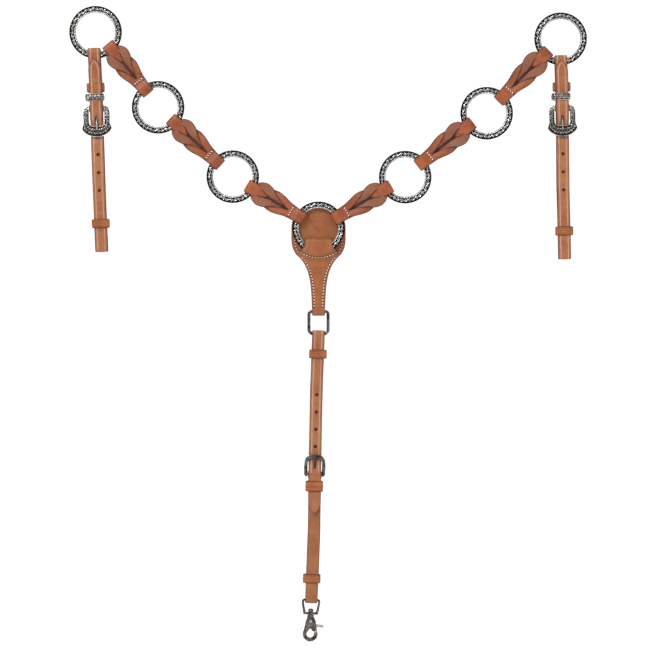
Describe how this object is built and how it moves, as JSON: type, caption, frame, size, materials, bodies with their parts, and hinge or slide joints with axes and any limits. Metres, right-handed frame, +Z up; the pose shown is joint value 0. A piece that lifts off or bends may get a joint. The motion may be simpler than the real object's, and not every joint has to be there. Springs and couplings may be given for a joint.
{
  "type": "western breast collar",
  "caption": "Western leather breast collar: metal rings joined by knotted connector straps, two buckled tugs, a stitched yoke and a buckled girth strap with a trigger snap.",
  "frame": {"origin": "centre of the centre ring", "axes": "+Z up as the part hangs, +X to the viewer's right, front faces -Y"},
  "size_m": [0.7765, 0.0315, 0.9544],
  "materials": {
    "strap_leather": "oiled harness leather with darker edges",
    "knot_leather": "oiled reddish leather, suede on the flesh side",
    "engraved_metal": "engraved, antiqued silver",
    "blackened_metal": "blackened steel",
    "snap_metal": "gunmetal"
  },
  "bodies": {
    "hub": {"centre_ring": "engraved_metal"},
    "left_connector_1": {"left_connector_1": "knot_leather"},
    "left_ring_1": {"left_ring_1": "engraved_metal"},
    "left_connector_2": {"left_connector_2": "knot_leather"},
    "left_ring_2": {"left_ring_2": "engraved_metal"},
    "left_connector_3": {"left_connector_3": "knot_leather"},
    "left_ring_3": {"left_ring_3": "engraved_metal"},
    "left_tug": {"left_tug_strap": "strap_leather"},
    "left_tug_buckle_frame": {"left_tug_buckle_frame": "engraved_metal"},
    "left_tug_buckle_tongue": {"left_tug_buckle_tongue": "engraved_metal"},
    "left_tug_upper_keeper": {"left_tug_upper_keeper": "strap_leather"},
    "left_tug_metal_keeper": {"left_tug_metal_keeper": "engraved_metal"},
    "left_tug_lower_keeper": {"left_tug_lower_keeper": "strap_leather"},
    "right_connector_1": {"right_connector_1": "knot_leather"},
    "right_ring_1": {"right_ring_1": "engraved_metal"},
    "right_connector_2": {"right_connector_2": "knot_leather"},
    "right_ring_2": {"right_ring_2": "engraved_metal"},
    "right_connector_3": {"right_connector_3": "knot_leather"},
    "right_ring_3": {"right_ring_3": "engraved_metal"},
    "right_tug": {"right_tug_strap": "strap_leather"},
    "right_tug_buckle_frame": {"right_tug_buckle_frame": "engraved_metal"},
    "right_tug_buckle_tongue": {"right_tug_buckle_tongue": "engraved_metal"},
    "right_tug_upper_keeper": {"right_tug_upper_keeper": "strap_leather"},
    "right_tug_metal_keeper": {"right_tug_metal_keeper": "engraved_metal"},
    "right_tug_lower_keeper": {"right_tug_lower_keeper": "strap_leather"},
    "yoke": {"yoke_panel": "strap_leather", "yoke_overlay": "strap_leather"},
    "link": {"yoke_link": "blackened_metal"},
    "girth": {"girth_strap": "strap_leather"},
    "girth_buckle_frame": {"girth_buckle_frame": "blackened_metal"},
    "girth_buckle_tongue": {"girth_buckle_tongue": "blackened_metal"},
    "girth_link_keeper": {"girth_link_keeper": "strap_leather"},
    "girth_billet_keeper": {"girth_billet_keeper": "strap_leather"},
    "girth_snap_keeper": {"girth_snap_keeper": "strap_leather"},
    "bow": {"snap_bow": "snap_metal"},
    "hook": {"snap_hook": "snap_metal", "snap_trigger_rivet": "snap_metal", "snap_trigger_spring": "snap_metal"},
    "trigger": {"snap_trigger": "snap_metal"}
  },
  "joints": [
    {"name": "left_connector_1_swing", "type": "hinge", "parent": "hub", "child": "left_connector_1", "pos_m": [0, 0, 0], "axis": [0, 1, 0], "range_deg": [-10, 10]},
    {"name": "left_ring_1_fold", "type": "hinge", "parent": "left_connector_1", "child": "left_ring_1", "pos_m": [-0.10196, 0, 0.06078], "axis": [0.512, 0, 0.859], "range_deg": [-15, 15]},
    {"name": "left_connector_2_swing", "type": "hinge", "parent": "left_ring_1", "child": "left_connector_2", "pos_m": [-0.12859, 0, 0.07665], "axis": [0, 1, 0], "range_deg": [-20, 20]},
    {"name": "left_ring_2_fold", "type": "hinge", "parent": "left_connector_2", "child": "left_ring_2", "pos_m": [-0.21788, 0, 0.15963], "axis": [0.6807, 0, 0.7325], "range_deg": [-15, 15]},
    {"name": "left_connector_3_swing", "type": "hinge", "parent": "left_ring_2", "child": "left_connector_3", "pos_m": [-0.24059, 0, 0.18074], "axis": [0, 1, 0], "range_deg": [-20, 20]},
    {"name": "left_ring_3_fold", "type": "hinge", "parent": "left_connector_3", "child": "left_ring_3", "pos_m": [-0.31452, 0, 0.26947], "axis": [0.7683, 0, 0.6401], "range_deg": [-15, 15]},
    {"name": "left_tug_swing", "type": "hinge", "parent": "left_ring_3", "child": "left_tug", "pos_m": [-0.33437, 0, 0.29329], "axis": [0, 1, 0], "range_deg": [0, 35]},
    {"name": "left_tug_buckle_tilt", "type": "hinge", "parent": "left_tug", "child": "left_tug_buckle_frame", "pos_m": [-0.33295, -0.00265, 0.17819], "axis": [-0.9993, 0, -0.0375], "range_deg": [0, 5]},
    {"name": "left_tug_tongue_lift", "type": "hinge", "parent": "left_tug_buckle_frame", "child": "left_tug_buckle_tongue", "pos_m": [-0.33295, -0.00265, 0.17819], "axis": [-0.9993, 0, -0.0375], "range_deg": [0, 3]},
    {"name": "left_tug_upper_keeper_slide", "type": "slide", "parent": "left_tug", "child": "left_tug_upper_keeper", "axis": [0.0375, 0, -0.9993], "range_m": [-0.015, 0.0025]},
    {"name": "left_tug_metal_keeper_slide", "type": "slide", "parent": "left_tug", "child": "left_tug_metal_keeper", "axis": [0.0375, 0, -0.9993], "range_m": [0, 0.005]},
    {"name": "left_tug_lower_keeper_slide", "type": "slide", "parent": "left_tug", "child": "left_tug_lower_keeper", "axis": [0.0375, 0, -0.9993], "range_m": [-0.03, 0.012]},
    {"name": "right_connector_1_swing", "type": "hinge", "parent": "hub", "child": "right_connector_1", "pos_m": [0, 0, 0], "axis": [0, -1, 0], "range_deg": [-10, 10]},
    {"name": "right_ring_1_fold", "type": "hinge", "parent": "right_connector_1", "child": "right_ring_1", "pos_m": [0.10326, 0, 0.06034], "axis": [0.5045, 0, -0.8634], "range_deg": [-15, 15]},
    {"name": "right_connector_2_swing", "type": "hinge", "parent": "right_ring_1", "child": "right_connector_2", "pos_m": [0.13003, 0, 0.07598], "axis": [0, -1, 0], "range_deg": [-20, 20]},
    {"name": "right_ring_2_fold", "type": "hinge", "parent": "right_connector_2", "child": "right_ring_2", "pos_m": [0.22784, 0, 0.15268], "axis": [0.617, 0, -0.7869], "range_deg": [-15, 15]},
    {"name": "right_connector_3_swing", "type": "hinge", "parent": "right_ring_2", "child": "right_connector_3", "pos_m": [0.25224, 0, 0.17181], "axis": [0, -1, 0], "range_deg": [-20, 20]},
    {"name": "right_ring_3_fold", "type": "hinge", "parent": "right_connector_3", "child": "right_ring_3", "pos_m": [0.3413, 0, 0.2615], "axis": [0.7096, 0, -0.7046], "range_deg": [-15, 15]},
    {"name": "right_tug_swing", "type": "hinge", "parent": "right_ring_3", "child": "right_tug", "pos_m": [0.36315, 0, 0.28349], "axis": [0, -1, 0], "range_deg": [0, 35]},
    {"name": "right_tug_buckle_tilt", "type": "hinge", "parent": "right_tug", "child": "right_tug_buckle_frame", "pos_m": [0.36507, -0.00265, 0.17929], "axis": [-0.9998, 0, -0.0183], "range_deg": [0, 5]},
    {"name": "right_tug_tongue_lift", "type": "hinge", "parent": "right_tug_buckle_frame", "child": "right_tug_buckle_tongue", "pos_m": [0.36507, -0.00265, 0.17929], "axis": [-0.9998, 0, -0.0183], "range_deg": [0, 3]},
    {"name": "right_tug_upper_keeper_slide", "type": "slide", "parent": "right_tug", "child": "right_tug_upper_keeper", "axis": [0.0183, 0, -0.9998], "range_m": [-0.015, 0.0025]},
    {"name": "right_tug_metal_keeper_slide", "type": "slide", "parent": "right_tug", "child": "right_tug_metal_keeper", "axis": [0.0183, 0, -0.9998], "range_m": [0, 0.005]},
    {"name": "right_tug_lower_keeper_slide", "type": "slide", "parent": "right_tug", "child": "right_tug_lower_keeper", "axis": [0.0183, 0, -0.9998], "range_m": [-0.03, 0.012]},
    {"name": "yoke_swing", "type": "hinge", "parent": "hub", "child": "yoke", "pos_m": [0, 0, 0], "axis": [0, -1, 0], "range_deg": [-12, 12]},
    {"name": "link_swing", "type": "hinge", "parent": "yoke", "child": "link", "pos_m": [0, 0.0098, -0.1256], "axis": [1, 0, 0], "range_deg": [-40, 40]},
    {"name": "girth_swing", "type": "hinge", "parent": "link", "child": "girth", "pos_m": [0, 0.0098, -0.1594], "axis": [1, 0, 0], "range_deg": [-50, 50]},
    {"name": "girth_buckle_tilt", "type": "hinge", "parent": "girth", "child": "girth_buckle_frame", "pos_m": [-0.00588, 0.00715, -0.36992], "axis": [0.9996, 0, -0.0279], "range_deg": [0, 5]},
    {"name": "girth_tongue_lift", "type": "hinge", "parent": "girth_buckle_frame", "child": "girth_buckle_tongue", "pos_m": [-0.00588, 0.00715, -0.36992], "axis": [0.9996, 0, -0.0279], "range_deg": [0, 3]},
    {"name": "girth_link_keeper_slide", "type": "slide", "parent": "girth", "child": "girth_link_keeper", "axis": [0.0279, 0, 0.9996], "range_m": [-0.03, 0.012]},
    {"name": "girth_billet_keeper_slide", "type": "slide", "parent": "girth", "child": "girth_billet_keeper", "axis": [0.0279, 0, 0.9996], "range_m": [-0.015, 0.005]},
    {"name": "girth_snap_keeper_slide", "type": "slide", "parent": "girth", "child": "girth_snap_keeper", "axis": [0.0279, 0, 0.9996], "range_m": [-0.015, 0.03]},
    {"name": "snap_bow_swing", "type": "hinge", "parent": "girth", "child": "bow", "pos_m": [-0.01116, 0.0098, -0.55884], "axis": [0.9996, 0, -0.0279], "range_deg": [-60, 60]},
    {"name": "snap_swivel", "type": "hinge", "parent": "bow", "child": "hook", "pos_m": [-0.01116, 0.0098, -0.55884], "axis": [0.0279, 0, 0.9996], "continuous": true},
    {"name": "snap_trigger_open", "type": "hinge", "parent": "hook", "child": "trigger", "pos_m": [-0.01155, 0.0098, -0.59085], "axis": [0, 1, 0], "range_deg": [0, 25], "stiffness_Nm_per_rad": 0.05, "springref_deg": -11.46}
  ]
}
